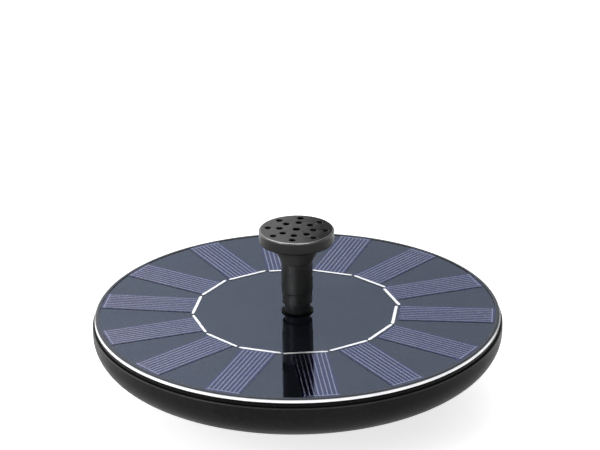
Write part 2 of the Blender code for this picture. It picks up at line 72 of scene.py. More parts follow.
# ================================================================ node materials
class Material:
    """Short calls for building one material's nodes."""

    def __init__(self, name):
        self.made = bpy.data.materials.new(name)
        self.made.use_nodes = True
        self.nodes = self.made.node_tree.nodes
        self.links = self.made.node_tree.links
        self.nodes.clear()
        self.out = self.nodes.new("ShaderNodeOutputMaterial")
        self.coord = self.nodes.new("ShaderNodeTexCoord").outputs["Object"]

    def set(self, socket, value):
        """Links a socket, or gives it a number or an RGB colour."""
        if isinstance(value, bpy.types.NodeSocket):
            self.links.new(value, socket)
        elif isinstance(value, tuple):
            socket.default_value = (*value, 1.0)
        else:
            socket.default_value = value

    def node(self, kind, out=0, **inputs):
        """A node by its kind; underscores in input names stand for spaces."""
        made = self.nodes.new(kind)
        for key, value in inputs.items():
            self.set(made.inputs[key.replace("_", " ")], value)
        return made.outputs[out]

    def position(self, axis):
        return self.node("ShaderNodeSeparateXYZ", axis, Vector=self.coord)

    def math(self, operation, first, second=0.0):
        made = self.nodes.new("ShaderNodeMath")
        made.operation = operation
        for socket, value in zip(made.inputs, (first, second, 0.0)):
            self.set(socket, value)
        return made.outputs[0]

    def noise(self, size_mm, detail=2.0, rough=0.5, stretch=(1, 1, 1), kind="ShaderNodeTexNoise"):
        mapping = self.nodes.new("ShaderNodeMapping")
        self.links.new(self.coord, mapping.inputs["Vector"])
        mapping.inputs["Scale"].default_value = tuple(1000.0 / size_mm / s for s in stretch)
        made = self.nodes.new(kind)
        self.links.new(mapping.outputs[0], made.inputs["Vector"])
        made.inputs["Scale"].default_value = 1.0
        if kind == "ShaderNodeTexNoise":
            made.inputs["Detail"].default_value = detail
            made.inputs["Roughness"].default_value = rough
        return made.outputs[0]

    def span(self, value, start, end, low=0.0, high=1.0):
        """Maps start..end to low..high, clamped."""
        return self.node(
            "ShaderNodeMapRange", Value=value, From_Min=start, From_Max=end, To_Min=low, To_Max=high
        )

    def spread(self, pattern, low=0.0, high=1.0):
        """Maps the range a noise mostly keeps to, 0.3 to 0.7, to low..high."""
        return self.span(pattern, 0.3, 0.7, low, high)

    def mix(self, factor, first, second):
        made = self.nodes.new("ShaderNodeMix")
        made.data_type = "RGBA"
        for index, value in ((0, factor), (6, first), (7, second)):
            self.set(made.inputs[index], value)
        return made.outputs[2]

    def fade(self, pattern, first, second):
        """Drifts between two colours with a noise."""
        return self.mix(self.spread(pattern), first, second)

    def flecked(self, tint, pattern, start, end, amount, colour):
        """Lays a share of another colour over a tint as a pattern goes from start to end."""
        return self.mix(
            self.math("MULTIPLY", self.span(pattern, start, end), amount), tint, colour
        )

    def bump(self, height, strength, depth_mm):
        made = self.nodes.new("ShaderNodeBump")
        made.inputs["Strength"].default_value = strength
        made.inputs["Distance"].default_value = depth_mm * MM
        self.links.new(height, made.inputs["Height"])
        return made.outputs[0]

    def mix_shader(self, factor, first, second):
        made = self.nodes.new("ShaderNodeMixShader")
        for socket, value in zip(made.inputs, (factor, first, second)):
            self.set(socket, value)
        return made.outputs[0]

    def done(self, shader):
        self.links.new(shader, self.out.inputs["Surface"])
        return self.made

    def principled(self, **inputs):
        return self.done(self.node("ShaderNodeBsdfPrincipled", **inputs))


def times(colour, factor):
    return tuple(c * factor for c in colour)


def moulded(name, colour, light, rough, spec, grain_mm, grain, depth_mm, drift_mm):
    """Moulded plastic: spark-eroded grain, slow colour drift, uneven sheen."""
    mat = Material(name)
    drift = mat.noise(drift_mm)
    fleck = mat.noise(grain_mm * 2.2)
    tint = mat.fade(drift, colour, light)
    tint = mat.flecked(tint, fleck, start=0.45, end=0.75, amount=0.35, colour=times(light, 1.7))
    slow_sheen = mat.spread(drift, low=-0.05, high=0.05)
    sheen = mat.math("ADD", slow_sheen, mat.spread(fleck, low=rough - 0.04, high=rough + 0.04))
    return mat.principled(
        Base_Color=tint, Roughness=sheen, Specular_IOR_Level=spec,
        Normal=mat.bump(mat.noise(grain_mm, rough=0.6), strength=grain, depth_mm=depth_mm),
    )


def cap_with_painted_light(name, lit_tone, shaded_tone, spec):
    """The cap's plastic with painted light: colour and specular level high towards -X and low towards
    +X, as from a light at the left, with the edge between wavering in streaks."""
    mat = Material(name)
    x = mat.position("X")
    streaks = mat.noise(3.5, detail=3.0, rough=0.6)
    fine = mat.noise(0.35, rough=0.6)
    waver = mat.math("MULTIPLY", mat.math("SUBTRACT", streaks, 0.5), 0.010)
    across = mat.math("ADD", x, waver)
    tint = mat.mix(mat.span(across, start=-0.015, end=0.010), lit_tone, shaded_tone)
    tint = mat.flecked(
        tint, mat.noise(0.8), start=0.45, end=0.75, amount=0.3, colour=times(lit_tone, 1.6)
    )
    return mat.principled(
        Base_Color=tint,
        Roughness=mat.span(across, start=-0.015, end=0.012, low=0.40, high=0.30),
        Specular_IOR_Level=mat.span(across, start=-0.008, end=0.009, low=spec, high=0.02),
        Normal=mat.bump(fine, strength=0.2, depth_mm=0.02),
    )


def rubber(name, colour, rough, spec):
    mat = Material(name)
    fine = mat.noise(0.12, detail=3.0, rough=0.7)
    slow = mat.noise(4.0)
    return mat.principled(
        Base_Color=mat.fade(slow, colour, times(colour, 1.5)),
        Roughness=mat.spread(slow, low=rough - 0.08, high=rough + 0.08), Specular_IOR_Level=spec,
        Normal=mat.bump(fine, strength=0.3, depth_mm=0.02),
    )


# What the resin's surface mirrors is tinted by this.
RESIN_TINT = (0.64, 0.74, 0.97)


def under_resin(mat, under):
    """What lies under the resin also carries the resin's own mirror face: reflection by angle
    over it."""
    fresnel = mat.node("ShaderNodeFresnel", IOR=1.56)
    glossy = mat.node(
        "ShaderNodeBsdfGlossy",
        Color=mat.fade(mat.noise(28.0), RESIN_TINT, times(RESIN_TINT, 1.03)),
        Roughness=mat.spread(mat.noise(3.0), low=0.012, high=0.03),
        Normal=mat.bump(mat.noise(14.0, detail=1.0), strength=0.05, depth_mm=0.02),
    )
    return mat.done(mat.mix_shader(fresnel, under, glossy))


def clear_sheet(name):
    """The resin itself, clear but for a trace of haze and dust."""
    mat = Material(name)
    haze = mat.noise(22.0, detail=3.0)
    dust = mat.noise(0.6)
    dull = mat.node(
        "ShaderNodeBsdfDiffuse", Color=mat.fade(haze, (0.020, 0.021, 0.024), (0.030, 0.031, 0.036))
    )
    clear = mat.node(
        "ShaderNodeBsdfTransparent", Color=mat.fade(haze, (0.985, 0.988, 0.995), (1.0, 1.0, 1.0))
    )
    dustiness = mat.span(dust, start=0.45, end=0.75, low=0.02, high=0.06)
    return mat.done(mat.mix_shader(dustiness, clear, dull))


def rim_with_painted_highlight(name):
    """The resin's rounded edge: a painted highlight, white low on the wall, and dark where it turns
    on to the top.
    """
    mat = Material(name)
    z = mat.position("Z")
    fine = mat.noise(0.5)
    waver = mat.math("SUBTRACT", mat.noise(5.0, detail=3.0), 0.5)
    height = mat.math("ADD", z, mat.math("MULTIPLY", waver, 0.00006))
    white = mat.fade(mat.noise(6.0, detail=3.0), (0.80, 0.81, 0.84), (0.95, 0.95, 0.96))
    dark = mat.fade(mat.noise(3.0, detail=3.0), (0.040, 0.046, 0.060), (0.055, 0.062, 0.080))
    # The painted highlight is full towards -Y and fades round the sides and at the foot of the wall.
    x = mat.position("X")
    y = mat.position("Y")
    toward = mat.math("ADD", y, mat.math("MULTIPLY", x, 0.10))
    painted_highlight = mat.span(toward, start=-0.010, end=-0.024, low=0.30, high=1.0)
    painted_highlight = mat.math("MULTIPLY", painted_highlight, mat.span(height, start=0.03358, end=0.03376))
    highlight_share = mat.math("MULTIPLY", mat.span(height, start=0.03472, end=0.03450), painted_highlight)
    # A painted glow, emitted where the painted highlight lies.
    painted_glow = mat.span(height, start=0.03464, end=0.03440, low=0.0, high=0.25)
    return mat.principled(
        Base_Color=mat.mix(highlight_share, dark, white),
        Roughness=mat.spread(fine, low=0.22, high=0.32), Specular_IOR_Level=0.10,
        Emission_Color=white,
        Emission_Strength=mat.math("MULTIPLY", painted_glow, painted_highlight),
        Normal=mat.bump(fine, strength=0.05, depth_mm=0.02),
    )


CELL_TINT = (0.003, 0.003, 0.046)
CELL_TINT_LEFT = (0.030, 0.017, 0.032)


def silicon(name):
    """Blue-violet anti-reflection film on silicon, redder towards -X."""
    mat = Material(name)
    x = mat.position("X")
    grain = mat.noise(5.0, detail=4.0, rough=0.6)
    fine = mat.noise(0.8)
    tint = mat.mix(mat.span(x, start=-0.070, end=-0.030), CELL_TINT_LEFT, CELL_TINT)
    tint = mat.flecked(
        tint, grain, start=0.35, end=0.7, amount=0.5, colour=times(CELL_TINT, 1.5)
    )
    tint = mat.flecked(
        tint, fine, start=0.5, end=0.8, amount=0.25, colour=times(CELL_TINT, 0.6)
    )
    film = mat.node(
        "ShaderNodeBsdfGlossy", Color=tint, Roughness=mat.spread(grain, low=0.10, high=0.16),
        Normal=mat.bump(fine, strength=0.04, depth_mm=0.01),
    )
    return under_resin(mat, film)


def laminated_metal(name, colour, rough, bump=0.05):
    """Printed or tinned metal under the resin."""
    mat = Material(name)
    slow = mat.noise(2.5)
    fine = mat.noise(0.5, detail=3.0, rough=0.6)
    face = mat.node(
        "ShaderNodeBsdfGlossy",
        Color=mat.fade(slow, times(colour, 0.93), colour),
        Roughness=mat.spread(fine, low=rough - 0.05, high=rough + 0.05),
        Normal=mat.bump(fine, strength=bump, depth_mm=0.01),
    )
    return under_resin(mat, face)


def metal(name, colour, rough, stretch=(0.15, 0.15, 3.0), bump=0.15):
    """Bare metal, its fine lines drawn out by the stretch."""
    mat = Material(name)
    lines = mat.noise(1.0, detail=3.0, rough=0.6, stretch=stretch)
    slow = mat.noise(3.0)
    return mat.principled(
        Base_Color=mat.fade(slow, times(colour, 0.88), colour),
        Metallic=1.0, Roughness=mat.spread(lines, low=rough - 0.08, high=rough + 0.08),
        Normal=mat.bump(lines, strength=bump, depth_mm=0.01),
    )


def board_face(name):
    mat = Material(name)
    fine = mat.noise(0.3)
    slow = mat.noise(20.0, detail=3.0)
    tint = mat.fade(slow, (0.0030, 0.0034, 0.0050), (0.0045, 0.0052, 0.0074))
    tint = mat.flecked(
        tint, fine, start=0.5, end=0.8, amount=0.4, colour=(0.008, 0.009, 0.012)
    )
    return under_resin(mat, mat.node("ShaderNodeBsdfDiffuse", Color=tint))


def foam(name, colour, cell_mm, depth_mm, shade):
    """Open cells, their pits darkened to the given share of the colour as painted shade."""
    mat = Material(name)
    cells = mat.noise(cell_mm, kind="ShaderNodeTexVoronoi")
    slow = mat.noise(8.0)
    painted_pit_shade = mat.span(cells, start=0.05, end=0.5)
    tint = mat.mix(painted_pit_shade, times(colour, shade), colour)
    tint = mat.flecked(tint, slow, start=0.3, end=0.7, amount=0.3, colour=times(colour, 0.8))
    return mat.principled(
        Base_Color=tint, Roughness=0.95, Specular_IOR_Level=0.1,
        Normal=mat.bump(cells, strength=0.7, depth_mm=depth_mm),
    )


def laminated_steel(name):
    """Steel sheets stacked along Y, 2000 to the metre, with dark gaps and a little rust."""
    mat = Material(name)
    y = mat.position("Y")
    line = mat.math("FRACT", mat.math("MULTIPLY", y, 2000.0))
    gap = mat.math("LESS_THAN", line, 0.16)
    rust = mat.noise(1.5, detail=3.0)
    tint = mat.mix(mat.span(rust, start=0.4, end=0.75), (0.42, 0.42, 0.43), (0.26, 0.235, 0.215))
    return mat.principled(
        Base_Color=mat.mix(gap, tint, (0.05, 0.045, 0.04)), Metallic=0.9,
        Roughness=mat.spread(rust, low=0.35, high=0.5),
        Normal=mat.bump(gap, strength=0.4, depth_mm=-0.05),
    )


def solder_mask(name):
    """Green mask with raised, paler tracks where a noise lies between 0.5 and 0.56."""
    mat = Material(name)
    slow = mat.noise(1.6, detail=0.0, stretch=(1, 1, 4))
    fine = mat.noise(0.2)
    above = mat.math("GREATER_THAN", slow, 0.5)
    track = mat.math("MULTIPLY", above, mat.math("LESS_THAN", slow, 0.56))
    return mat.principled(
        Base_Color=mat.mix(track, (0.012, 0.11, 0.04), (0.03, 0.22, 0.08)),
        Specular_IOR_Level=0.5, Roughness=mat.spread(fine, low=0.25, high=0.35),
        Normal=mat.bump(track, strength=0.3, depth_mm=0.03),
    )


def ceramic(name):
    mat = Material(name)
    fine = mat.noise(0.2)
    slow = mat.noise(2.5)
    return mat.principled(
        Base_Color=mat.fade(slow, (0.78, 0.76, 0.72), (0.85, 0.84, 0.81)),
        Roughness=mat.spread(fine, low=0.16, high=0.26),
        Normal=mat.bump(fine, strength=0.05, depth_mm=0.01),
    )


def studio_floor(name):
    """White acrylic, softly lit from within. It shows from above only, so the underside can be
    looked at."""
    mat = Material(name)
    slow = mat.noise(300.0)
    top = mat.node(
        "ShaderNodeBsdfPrincipled",
        Base_Color=mat.fade(slow, (0.80, 0.80, 0.80), (0.82, 0.82, 0.82)),
        Roughness=0.9, Specular_IOR_Level=0.1, Emission_Color=(1.0, 1.0, 1.0),
        Emission_Strength=mat.spread(slow, low=0.72, high=0.74),
    )
    below = mat.node("ShaderNodeNewGeometry", "Backfacing")
    return mat.done(mat.mix_shader(below, top, mat.node("ShaderNodeBsdfTransparent")))


SHELL_BLACK = moulded(
    "shell_black", (0.0066, 0.0066, 0.0070), (0.0105, 0.0105, 0.0112),
    rough=0.42, spec=0.055, grain_mm=0.7, grain=0.5, depth_mm=0.05, drift_mm=14.0,
)
# A lighter copy of the shell's plastic for the lip's edge: a painted highlight along the parting
# line.
LEDGE_PAINTED_HIGHLIGHT = moulded(
    "shell_ledge_painted_highlight", (0.026, 0.026, 0.027), (0.036, 0.036, 0.037),
    rough=0.36, spec=0.20, grain_mm=0.5, grain=0.3, depth_mm=0.03, drift_mm=14.0,
)
NOZZLE_BLACK = moulded(
    "nozzle_black", (0.0085, 0.0087, 0.0085), (0.0115, 0.0117, 0.0115),
    rough=0.34, spec=0.27, grain_mm=0.35, grain=0.22, depth_mm=0.02, drift_mm=7.0,
)
PUMP_BLACK = moulded(
    "pump_black", (0.011, 0.011, 0.012), (0.017, 0.017, 0.018),
    rough=0.42, spec=0.4, grain_mm=0.4, grain=0.3, depth_mm=0.02, drift_mm=8.0,
)
# Black plastic, darker and less glossy than the shell's: painted shade for the bezel's band under the
# rim and for the jets' holes; also the flag's black.
PAINTED_SHADE_BLACK = moulded(
    "painted_shade_black", (0.0016, 0.0016, 0.0018), (0.0024, 0.0024, 0.0026),
    rough=0.26, spec=0.06, grain_mm=0.4, grain=0.05, depth_mm=0.01, drift_mm=12.0,
)
# Painted light on the cap's top: paler towards -X, darker towards +X.
CAP_TOP = cap_with_painted_light("cap_top", lit_tone=(0.020, 0.020, 0.019), shaded_tone=(0.004, 0.004, 0.004), spec=0.26)
CAP_EDGE = moulded(
    "cap_edge", (0.009, 0.009, 0.009), (0.012, 0.012, 0.012),
    rough=0.30, spec=1.0, grain_mm=0.35, grain=0.02, depth_mm=0.01, drift_mm=4.0,
)
# The nozzle's plastic made over three times lighter for the funnel: painted light against the shade
# under the cap.
FUNNEL_PAINTED_LIGHT = moulded(
    "funnel_painted_light", (0.028, 0.028, 0.027), (0.036, 0.036, 0.035),
    rough=0.40, spec=0.30, grain_mm=0.35, grain=0.22, depth_mm=0.02, drift_mm=7.0,
)
COLLAR_BLACK = rubber("collar_black", (0.0010, 0.0010, 0.0012), rough=0.55, spec=0.03)
SEAL_RUBBER = rubber("seal_rubber", (0.0030, 0.0030, 0.0034), rough=0.6, spec=0.06)
CABLE_RUBBER = rubber("cable_rubber", (0.012, 0.012, 0.0125), rough=0.5, spec=0.35)
SHEET = clear_sheet("panel_sheet")
# The rim's white band is a painted highlight.
RIM = rim_with_painted_highlight("panel_sheet_rim")
SILICON = silicon("cell_silicon")
FINGER = laminated_metal("cell_finger", (0.20, 0.203, 0.275), rough=0.24)
BUSBAR = laminated_metal("cell_busbar", (0.20, 0.21, 0.31), rough=0.24)
TIN = laminated_metal("tinned_ribbon", (0.99, 0.99, 0.99), rough=0.36, bump=0.12)
BOARD = board_face("backing_board")
FOAM = foam("float_foam_white", (0.78, 0.78, 0.75), cell_mm=0.9, depth_mm=0.12, shade=0.82)
SPONGE = foam("filter_sponge_black", (0.035, 0.035, 0.037), cell_mm=0.8, depth_mm=0.4, shade=0.45)
STEEL = metal("screw_steel", (0.55, 0.55, 0.56), rough=0.34)
LAMINATED = laminated_steel("stator_steel")
COPPER = metal(
    "enamelled_copper", (0.78, 0.30, 0.12), rough=0.28, stretch=(0.3, 0.3, 0.3), bump=0.05
)
FERRITE = moulded(
    "ferrite", (0.035, 0.034, 0.034), (0.055, 0.053, 0.052),
    rough=0.5, spec=0.5, grain_mm=0.15, grain=0.3, depth_mm=0.02, drift_mm=3.0,
)
CERAMIC = ceramic("white_ceramic")
MASK = solder_mask("solder_mask")
CHIP = moulded(
    "chip_black", (0.012, 0.012, 0.012), (0.02, 0.02, 0.02),
    rough=0.5, spec=0.4, grain_mm=0.1, grain=0.2, depth_mm=0.01, drift_mm=1.0,
)
RESIN = moulded(
    "potting_resin", (0.010, 0.010, 0.012), (0.016, 0.016, 0.018),
    rough=0.22, spec=0.5, grain_mm=1.2, grain=0.2, depth_mm=0.03, drift_mm=5.0,
)
ACETAL = moulded(
    "white_acetal", (0.70, 0.70, 0.67), (0.76, 0.76, 0.73),
    rough=0.4, spec=0.45, grain_mm=0.3, grain=0.15, depth_mm=0.01, drift_mm=5.0,
)


# ================================================================ geometry
def rounded(points, closed=True):
    """2D points in mm with each corner that states a third number rounded to that radius."""
    out = []
    for i, point in enumerate(points):
        radius = point[2] if len(point) > 2 else 0.0
        if radius <= 0 or (not closed and i in (0, len(points) - 1)):
            out.append((point[0], point[1]))
            continue
        here = Vector(point[:2])
        before = Vector(points[i - 1][:2]) - here
        after = Vector(points[(i + 1) % len(points)][:2]) - here
        angle = before.angle(after)
        if angle > math.radians(175):
            out.append((point[0], point[1]))
            continue
        reach = min(radius / math.tan(angle / 2), 0.48 * before.length, 0.48 * after.length)
        radius = reach * math.tan(angle / 2)
        start = here + before.normalized() * reach
        end = here + after.normalized() * reach
        inward = (before.normalized() + after.normalized()).normalized()
        centre = here + inward * (radius / math.sin(angle / 2))
        steps = max(2, round(math.degrees(math.pi - angle) / 15))
        first = math.atan2(*(start - centre).yx)
        turn = math.atan2(*(end - centre).yx) - first
        turn = (turn + math.pi) % (2 * math.pi) - math.pi
        for k in range(steps + 1):
            at = first + turn * k / steps
            out.append((centre.x + radius * math.cos(at), centre.y + radius * math.sin(at)))
    return out


def flowing(points, steps=5):
    """A smooth curve through (r, z) points (Catmull-Rom)."""
    out = []
    last = len(points) - 1
    for i in range(last):
        p = [Vector(points[max(0, min(last, i + k))]) for k in (-1, 0, 1, 2)]
        for j in range(steps):
            t = j / steps
            v = 0.5 * (
                2 * p[1] + (p[2] - p[0]) * t + (2 * p[0] - 5 * p[1] + 4 * p[2] - p[3]) * t * t
                + (3 * p[1] - p[0] - 3 * p[2] + p[3]) * t ** 3
            )
            out.append((v.x, v.y))
    out.append(points[-1])
    return out


def object_of(name, shape, *mats):
    mesh = bpy.data.meshes.new(name)
    shape.to_mesh(mesh)
    shape.free()
    for mat in mats:
        mesh.materials.append(mat)
    return linked(name, mesh)


def linked(name, data):
    obj = bpy.data.objects.new(name, data)
    bpy.context.scene.collection.objects.link(obj)
    return obj


def to_metres(shape):
    bmesh.ops.scale(shape, vec=(MM, MM, MM), verts=shape.verts)


def turned_shape(profile, sides, closed, place):
    """A profile turned about Z, still in mm. Corners may state a radius, as in rounded()."""
    shape = bmesh.new()
    rings = []
    for radius, z in rounded(profile, closed):
        if radius < 1e-6:
            rings.append([shape.verts.new(place @ Vector((0, 0, z)))])
            continue
        ring = []
        for k in range(sides):
            angle = 2 * math.pi * k / sides
            corner = Vector((radius * math.cos(angle), radius * math.sin(angle), z))
            ring.append(shape.verts.new(place @ corner))
        rings.append(ring)
    pairs = list(zip(rings, rings[1:])) + ([(rings[-1], rings[0])] if closed else [])
    for a, b in pairs:
        for k in range(sides):
            quad = [a[k % len(a)], a[(k + 1) % len(a)], b[(k + 1) % len(b)], b[k % len(b)]]
            unique = list(dict.fromkeys(quad))
            if len(unique) > 2:
                shape.faces.new(unique)
    bmesh.ops.recalc_face_normals(shape, faces=shape.faces)
    return shape


def turned(name, profile, mat, sides=160, closed=True, place=UNMOVED):
    shape = turned_shape(profile, sides, closed, place)
    to_metres(shape)
    return object_of(name, shape, mat)


def add_prism(shape, outline, low, high, place=UNMOVED, index=0):
    """An outline of (x, y) in mm, extruded along Z, with a material index."""
    bottom = [shape.verts.new(place @ Vector((x, y, low))) for x, y in outline]
    top = [shape.verts.new(place @ Vector((x, y, high))) for x, y in outline]
    made = [shape.faces.new(top), shape.faces.new(bottom[::-1])]
    for i in range(len(outline)):
        j = (i + 1) % len(outline)
        made.append(shape.faces.new((bottom[i], bottom[j], top[j], top[i])))
    for face in made:
        face.material_index = index
    bmesh.ops.recalc_face_normals(shape, faces=made)


def prisms(name, solids, *mats):
    """One object of many prisms, each given as the arguments of add_prism."""
    shape = bmesh.new()
    for solid in solids:
        add_prism(shape, *solid)
    to_metres(shape)
    return object_of(name, shape, *mats)


def stadium(length, width):
    """A slot's outline, long along X."""
    radius = width / 2
    half = length / 2 - width / 2
    out = []
    for side, start in ((1, -90), (-1, 90)):
        for k in range(9):
            angle = math.radians(start + 180 * k / 8)
            out.append((side * half + radius * math.cos(angle), radius * math.sin(angle)))
    return out


def rectangle(x_low, x_high, y_low, y_high, corner=0.0):
    return rounded([
        (x_low, y_low, corner), (x_high, y_low, corner),
        (x_high, y_high, corner), (x_low, y_high, corner),
    ])


def combine(obj, tools, operation):
    """Booleans obj with each tool in turn and keeps the result as plain mesh."""
    for tool in tools:
        change = obj.modifiers.new("boolean", "BOOLEAN")
        change.operation = operation
        change.object = tool
        change.solver = "EXACT"
    graph = bpy.context.evaluated_depsgraph_get()
    mesh = bpy.data.meshes.new_from_object(obj.evaluated_get(graph), depsgraph=graph)
    obj.modifiers.clear()
    old = obj.data
    obj.data = mesh
    bpy.data.meshes.remove(old)
    for tool in tools:
        bpy.data.objects.remove(tool)


def rod(x, y, low, high, radius):
    """An upright cylinder used as a boolean tool."""
    profile = [(0, high), (radius, high), (radius, low), (0, low)]
    return turned("rod", profile, None, 48, False, Matrix.Translation((x, y, 0)))


def tube(name, lines, radius, resolution, mat, closed):
    """A mesh of round tubes along lines of Vectors, in mm."""
    curve = bpy.data.curves.new(name, "CURVE")
    curve.dimensions = "3D"
    curve.bevel_depth = radius * MM
    curve.bevel_resolution = resolution
    curve.use_fill_caps = not closed
    for line in lines:
        spline = curve.splines.new("POLY")
        spline.points.add(len(line) - 1)
        for point, at in zip(spline.points, line):
            point.co = (*(at * MM), 1.0)
        spline.use_cyclic_u = closed
    holder = linked("tube_curve", curve)
    bpy.context.view_layer.update()
    graph = bpy.context.evaluated_depsgraph_get()
    mesh = bpy.data.meshes.new_from_object(holder.evaluated_get(graph), depsgraph=graph)
    bpy.data.objects.remove(holder)
    mesh.materials.clear()
    mesh.materials.append(mat)
    return linked(name, mesh)


def piece(obj, body="float", sharp=38.0, weighted=True):
    """Shades a piece named look_<node>, ties it to its body and puts it in its node's place."""
    node = obj.name.removeprefix("look_")
    obj.data.shade_smooth()
    obj.data.set_sharp_from_angle(angle=math.radians(sharp))
    if weighted:
        normal = obj.modifiers.new("weighted_normal", "WEIGHTED_NORMAL")
        normal.keep_sharp = True
        normal.weight = 60
    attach(obj, body)
    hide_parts(node)


def on_ring(degrees):
    return Matrix.Rotation(math.radians(degrees), 4, "Z")


def about_pump(degrees):
    """X points out from the pump axis, Y runs along it."""
    return Matrix.Translation((0, 0, AXIS_Z)) @ Matrix.Rotation(math.radians(degrees), 4, "Y")


def radius_and_z(face):
    """Where a face's middle lies, mm."""
    middle = Vector(face.center) / MM
    return math.hypot(middle.x, middle.y), middle.z


# Every profile below lists (r, z) or (r, z, corner radius) in mm. Under PUMP, z is the frame's Y.

# ================================================================ solar panel
# Seen through the resin, what lies under it looks nearly at the surface, so it is built there.
SHEET_LOW = 34.95
RIBBON_HIGH = 34.94
RIBBON_LOW = 34.90
CELL_HIGH = 34.88
CELL_LOW = 34.78
BOARD_HIGH = 34.74
EDGE_R = 1.2            # rounding of the sheet's upper edge
RIM_IN = 77.3           # where the flat top ends

edge = [
    (
        PANEL_R - EDGE_R + EDGE_R * math.cos(math.radians(t)),
        TOP_Z - EDGE_R + EDGE_R * math.sin(math.radians(t)),
    )
    for t in range(90, -1, -9)
]
sheet = turned(
    "look_panel_front_sheet",
    [(BORE_R, TOP_Z, 0.02), (RIM_IN, TOP_Z)] + edge
    + [(PANEL_R, 33.5, 0.15), (77.8, 33.5, 0.1), (77.8, SHEET_LOW), (BORE_R, SHEET_LOW)],
    SHEET, 240,
)
sheet.data.materials.append(RIM)
for face in sheet.data.polygons:
    radius, z = radius_and_z(face)
    if radius > 77.95 or (radius > RIM_IN and z > 34.98):
        face.material_index = 1
piece(sheet)

piece(turned(
    "look_panel_backing_board",
    [(BORE_R, BOARD_HIGH, 0.08), (77.4, BOARD_HIGH, 0.1), (77.4, 32.15, 0.15), (BORE_R, 32.15, 0.08)],
    BOARD, 200,
))

CELL_COUNT = 14
CELL_WIDTH = 13.9
CELL_IN = 39.6          # inner and outer ends, and the point a cell turns about
CELL_OUT = 77.1
CELL_MIDDLE = 58.0
FINGERS = 8
FINGER_PITCH = 1.65
FINGER_WIDTH = 0.46
RIBBON_R = 39.0
RIBBON_LENGTH = 16.95
RIBBON_HALF = 0.56      # half its width
FIRST_RIBBON_DEG = -8.6
# Hand-laid unevenness, one value for each cell: turn in degrees, shift in mm (cells shift
# sideways, ribbons outwards).
CELL_TURN = (1.0, -0.5, 3.0, -0.2, 0.0, -3.0, 0.5, -0.4, 1.0, -1.2, 0.0, 1.0, 0.6, -1.4)
CELL_SHIFT = (1.2, 1.8, 1.3, 0.3, 0.8, -1.0, 0.2, -0.6, 0.0, -0.5, -0.4, 1.4, 0.9, 0.7)
RIBBON_TURN = (1.0, 1.5, 2.4, 1.5, 0.5, 0.5, 2.2, -1.0, 1.6, 1.5, 2.2, 0.5, 1.0, 0.5)
RIBBON_SHIFT = (-0.9, 0.0, 0.6, -0.2, 0.3, 1.0, 1.1, 0.9, 0.7, 0.5, 0.1, 0.0, -0.5, -0.8)


def laid(ring_deg, radius, turn, outward=0.0, sideways=0.0):
    """Places something drawn at a radius on X: round the ring, shifted and turned in place."""
    return (
        on_ring(ring_deg) @ Matrix.Translation((radius + outward, sideways, 0))
        @ Matrix.Rotation(math.radians(turn), 4, "Z") @ Matrix.Translation((-radius, 0, 0))
    )


def solar_cell(index, ribbon_deg):
    """A silicon strip with printed fingers along it and a busbar across its outer end."""
    cell_deg = ribbon_deg + 1.4 + 1.1 * math.cos(math.radians(ribbon_deg - 45.0))
    at = laid(cell_deg, CELL_MIDDLE, CELL_TURN[index], sideways=CELL_SHIFT[index])
    half = CELL_WIDTH / 2
    print_low = CELL_HIGH - 0.02
    body = rectangle(CELL_IN, CELL_OUT, -half, half, 0.25)
    solids = [(body, CELL_LOW, CELL_HIGH - 0.012, at)]
    for k in range(FINGERS):
        y = (k - (FINGERS - 1) / 2) * FINGER_PITCH
        reach = FINGER_WIDTH * random.uniform(0.88, 1.1) / 2
        finger = rectangle(CELL_IN + 0.3, CELL_OUT - 1.1, y - reach, y + reach)
        solids.append((finger, print_low, CELL_HIGH, at, 1))
    bus = CELL_OUT - 1.2
    busbar = rectangle(bus - 0.25, bus + 0.25, -half + 0.4, half - 0.4)
    solids.append((busbar, print_low, CELL_HIGH - 0.004, at, 2))
    name = f"look_solar_cell_{index + 1:02d}"
    piece(prisms(name, solids, SILICON, FINGER, BUSBAR), weighted=False)


def cell_ribbon(index, ribbon_deg):
    """A hand-soldered ribbon: its edges waver along its length and its ends are blunt blobs."""
    steps = 40
    inner_edge = []
    outer_edge = []
    half = RIBBON_HALF * random.uniform(0.9, 1.12)
    for k in range(steps + 1):
        y = RIBBON_LENGTH * (k / steps - 0.5)
        taper = min(1.0, 0.45 + 0.55 * min(k, steps - k) / 2.0)
        inner_wave = noise.noise(Vector((index * 7.3, k * 0.42, 0.0)))
        outer_wave = noise.noise(Vector((index * 3.1 + 50, k * 0.42, 9.0)))
        inner_edge.append((RIBBON_R - (half + 0.12 * inner_wave) * taper, y))
        outer_edge.append((RIBBON_R + (half + 0.12 * outer_wave) * taper, y))
    at = laid(ribbon_deg, RIBBON_R, RIBBON_TURN[index], outward=RIBBON_SHIFT[index])
    solid = (inner_edge[::-1] + outer_edge, RIBBON_LOW, RIBBON_HIGH, at)
    piece(prisms(f"look_cell_ribbon_{index + 1:02d}", [solid], TIN), weighted=False)


for index in range(CELL_COUNT):
    ribbon_deg = FIRST_RIBBON_DEG + index * 360.0 / CELL_COUNT
    solar_cell(index, ribbon_deg)
    cell_ribbon(index, ribbon_deg)

piece(turned(
    "look_panel_gasket",
    [(74.4, 32.1, 0.3), (76.8, 32.1, 0.3), (76.8, 30.95, 0.3), (74.4, 30.95, 0.3)],
    SEAL_RUBBER,
))
# The bezel's black plastic is darkened further with painted shade, as of a recess under the rim.
piece(turned(
    "look_bezel_ring",
    [
        (77.6, 33.4, 0.1), (PANEL_R, 33.4, 0.3), (PANEL_R, 31.95, 0.1), (78.2, 31.95, 0.05),
        (78.2, 29.7, 0.15), (74.0, 29.7, 0.15), (74.0, 30.9, 0.15), (77.6, 30.9, 0.1),
    ],
    PAINTED_SHADE_BLACK, 240,
))

